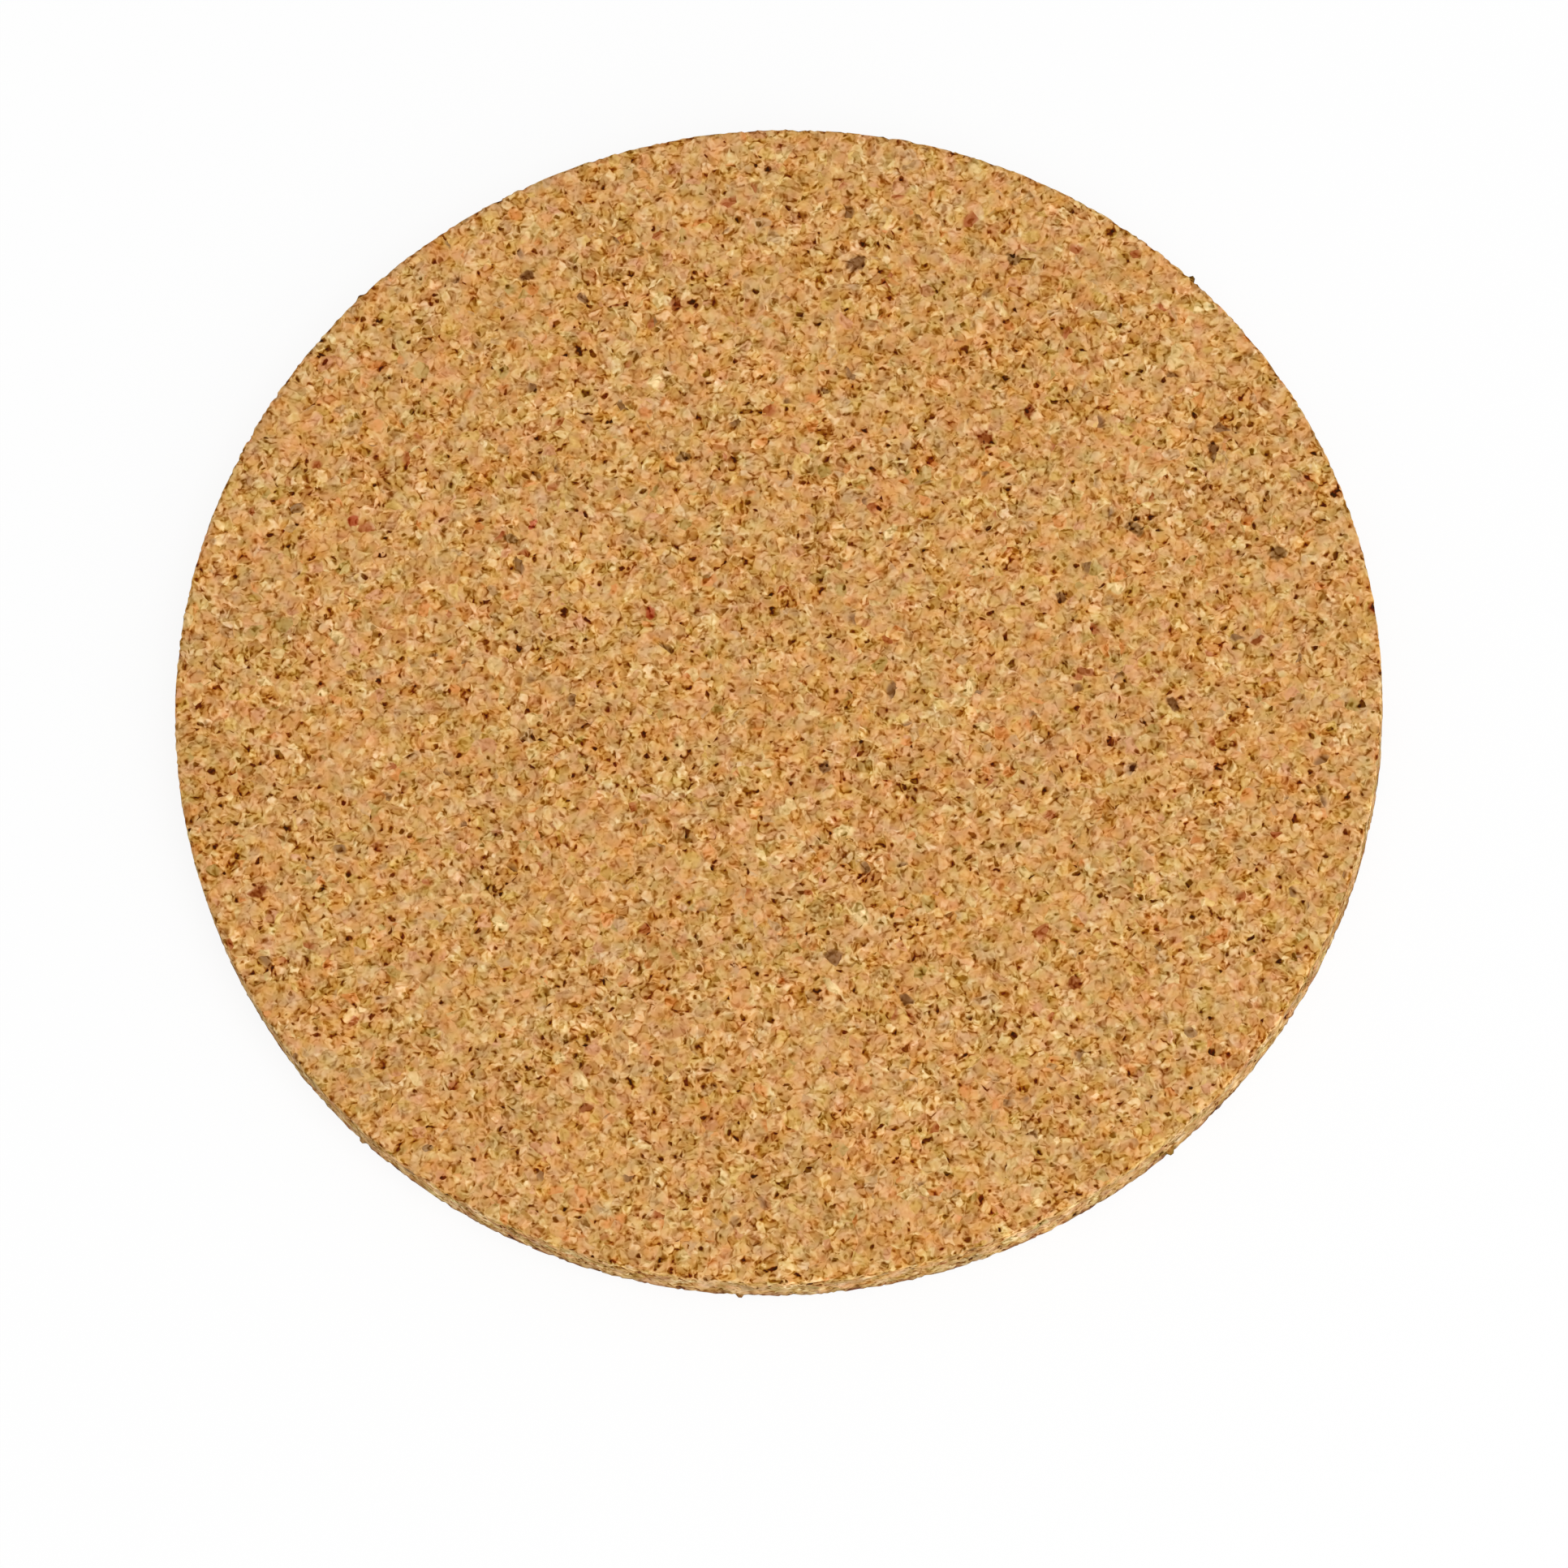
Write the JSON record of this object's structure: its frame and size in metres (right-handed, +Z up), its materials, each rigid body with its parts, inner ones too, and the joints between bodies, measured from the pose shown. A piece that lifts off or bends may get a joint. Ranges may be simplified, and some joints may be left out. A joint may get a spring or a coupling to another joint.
{
  "type": "cork coaster",
  "caption": "Plain round drinks coaster: a thin flat disc of pressed cork granules that protects a table from a cup or glass.",
  "frame": {"origin": "middle of the underside, on the surface that the coaster lies on", "axes": "+Z up out of the top face, along the disc's axis; X and Y lie in the underside and are alike"},
  "size_m": [0.0888, 0.0888, 0.004],
  "materials": {
    "cork": "matte"
  },
  "bodies": {
    "root": {"cork_disc": "cork"}
  },
  "joints": []
}
